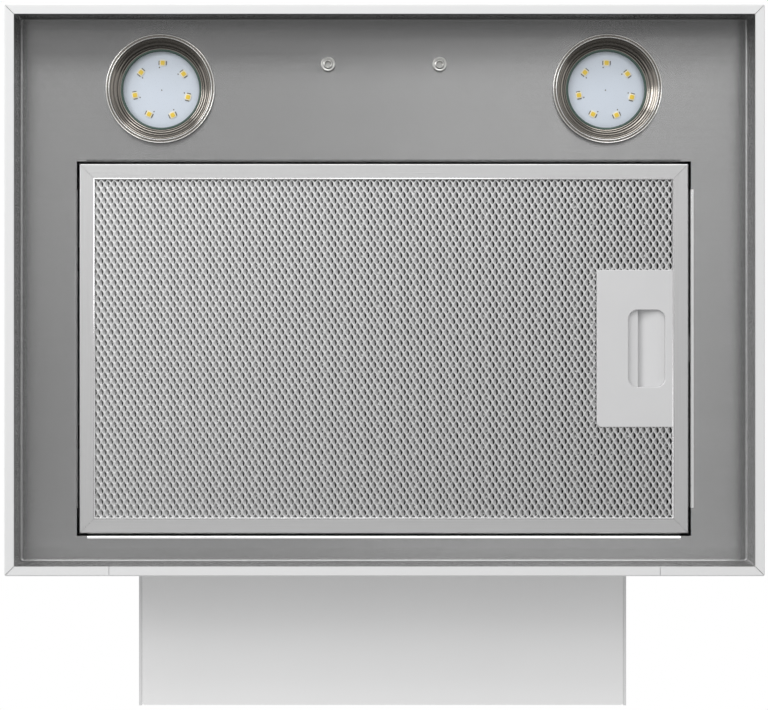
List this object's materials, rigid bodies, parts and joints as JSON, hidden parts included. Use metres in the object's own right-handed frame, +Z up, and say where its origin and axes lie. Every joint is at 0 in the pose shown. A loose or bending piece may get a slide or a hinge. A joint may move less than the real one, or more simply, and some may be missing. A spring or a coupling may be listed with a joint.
{
  "type": "chimney range hood",
  "caption": "Wall mounted chimney hood with a shallow tray, recessed filter panel, two round lamps, push buttons, a centrifugal blower and a telescoping chimney.",
  "frame": {"origin": "middle of the two wall holes of the blower box, in the wall plane", "axes": "+X to the right seen from the front, +Y towards the wall, +Z up"},
  "size_m": [0.5, 0.483, 0.52],
  "materials": {
    "white_paint": "white baked paint on folded sheet, soft gloss",
    "brushed_panel": "stainless sheet, grain along X",
    "galvanised": "galvanised sheet, faint spangle",
    "polished_ring": "bright spun trim",
    "lamp_glass": "clear flat glass",
    "lamp_board_white": "white lacquered board",
    "led_yellow": "yellow phosphor in a pale body",
    "mesh_aluminium": "expanded and folded aluminium",
    "cast_aluminium": "die cast, matt",
    "silver_plastic": "moulded, silver grey, fine satin",
    "white_plastic": "moulded, white",
    "grey_plastic": "moulded, mid grey",
    "black_plastic": "moulded, black",
    "zinc_steel": "zinc plated",
    "motor_paint": "black stoved paint",
    "motor_iron": "stacked laminations",
    "black_rubber": "moulded rubber"
  },
  "bodies": {
    "hood": {"blower_box": "galvanised", "cable_gland": "black_plastic", "canopy_rear_plate": "white_paint", "canopy_shell": "white_paint", "canopy_top": "galvanised", "capacitor": "white_plastic", "capacitor_clip": "galvanised", "chimney_bottom_cover": "white_paint", "chimney_lower": "white_paint", "control_bezel": "white_plastic", "control_housing": "grey_plastic", "flap_pin": "zinc_steel", "lamp_board_left": "lamp_board_white", "lamp_board_right": "lamp_board_white", "lamp_clips": "zinc_steel", "lamp_housing_left": "cast_aluminium", "lamp_housing_right": "cast_aluminium", "lamp_lens_left": "lamp_glass", "lamp_lens_right": "lamp_glass", "lamp_ring_left": "polished_ring", "lamp_ring_right": "polished_ring", "led_chips_left": "led_yellow", "led_chips_right": "led_yellow", "motor_bearings": "zinc_steel", "motor_bracket": "galvanised", "motor_can_left": "motor_paint", "motor_can_right": "motor_paint", "motor_stator": "motor_iron", "outlet_collar": "grey_plastic", "panel_rivets": "zinc_steel", "rubber_bushes": "black_rubber", "scroll_left": "grey_plastic", "scroll_right": "grey_plastic", "scroll_screws": "zinc_steel", "sheet_screws": "zinc_steel", "switch_board": "black_plastic", "switch_domes": "black_rubber", "terminal_box": "grey_plastic", "underside_panel": "brushed_panel"},
    "filter": {"filter_frame": "mesh_aluminium", "filter_mesh_lower": "mesh_aluminium", "filter_mesh_core": "mesh_aluminium", "filter_mesh_upper": "mesh_aluminium", "filter_tabs": "mesh_aluminium", "handle_plate": "silver_plastic", "handle_back_plate": "mesh_aluminium"},
    "filter_latch": {"latch_slider": "silver_plastic"},
    "upper_chimney": {"chimney_upper": "white_paint", "chimney_bracket": "galvanised"},
    "impeller_wheel": {"impeller": "grey_plastic", "impeller_nut": "zinc_steel", "motor_shaft": "zinc_steel", "motor_rotor": "motor_iron"},
    "damper_front": {"flap_front": "grey_plastic"},
    "damper_rear": {"flap_rear": "grey_plastic"},
    "switch_button_1": {"button_1": "white_plastic"},
    "switch_button_2": {"button_2": "white_plastic"},
    "switch_button_3": {"button_3": "white_plastic"},
    "switch_button_4": {"button_4": "white_plastic"},
    "switch_button_5": {"button_5": "white_plastic"}
  },
  "joints": [
    {"name": "filter_swing", "type": "hinge", "parent": "hood", "child": "filter", "pos_m": [-0.2045, -0.2513, -0.258], "axis": [0, 1, 0], "range_deg": [0, 35]},
    {"name": "filter_latch_slide", "type": "slide", "parent": "filter", "child": "filter_latch", "axis": [-1, 0, 0], "range_m": [0, 0.006], "stiffness_N_per_m": 300, "springref_m": -0.002},
    {"name": "chimney_extend", "type": "slide", "parent": "hood", "child": "upper_chimney", "axis": [0, 0, 1], "range_m": [0, 0.25]},
    {"name": "impeller_spin", "type": "hinge", "parent": "hood", "child": "impeller_wheel", "pos_m": [0, -0.16, -0.1], "axis": [1, 0, 0], "continuous": true},
    {"name": "damper_front_swing", "type": "hinge", "parent": "hood", "child": "damper_front", "pos_m": [0, -0.10849, 0.05], "axis": [-1, 0, 0], "range_deg": [0, 75]},
    {"name": "damper_rear_swing", "type": "hinge", "parent": "hood", "child": "damper_rear", "pos_m": [0, -0.10849, 0.05], "axis": [1, 0, 0], "range_deg": [0, 75]},
    {"name": "button_1_press", "type": "slide", "parent": "hood", "child": "switch_button_1", "axis": [0, 1, 0], "range_m": [0, 0.0025], "stiffness_N_per_m": 400, "springref_m": -0.001},
    {"name": "button_2_press", "type": "slide", "parent": "hood", "child": "switch_button_2", "axis": [0, 1, 0], "range_m": [0, 0.0025], "stiffness_N_per_m": 400, "springref_m": -0.001},
    {"name": "button_3_press", "type": "slide", "parent": "hood", "child": "switch_button_3", "axis": [0, 1, 0], "range_m": [0, 0.0025], "stiffness_N_per_m": 400, "springref_m": -0.001},
    {"name": "button_4_press", "type": "slide", "parent": "hood", "child": "switch_button_4", "axis": [0, 1, 0], "range_m": [0, 0.0025], "stiffness_N_per_m": 400, "springref_m": -0.001},
    {"name": "button_5_press", "type": "slide", "parent": "hood", "child": "switch_button_5", "axis": [0, 1, 0], "range_m": [0, 0.0025], "stiffness_N_per_m": 400, "springref_m": -0.001}
  ]
}
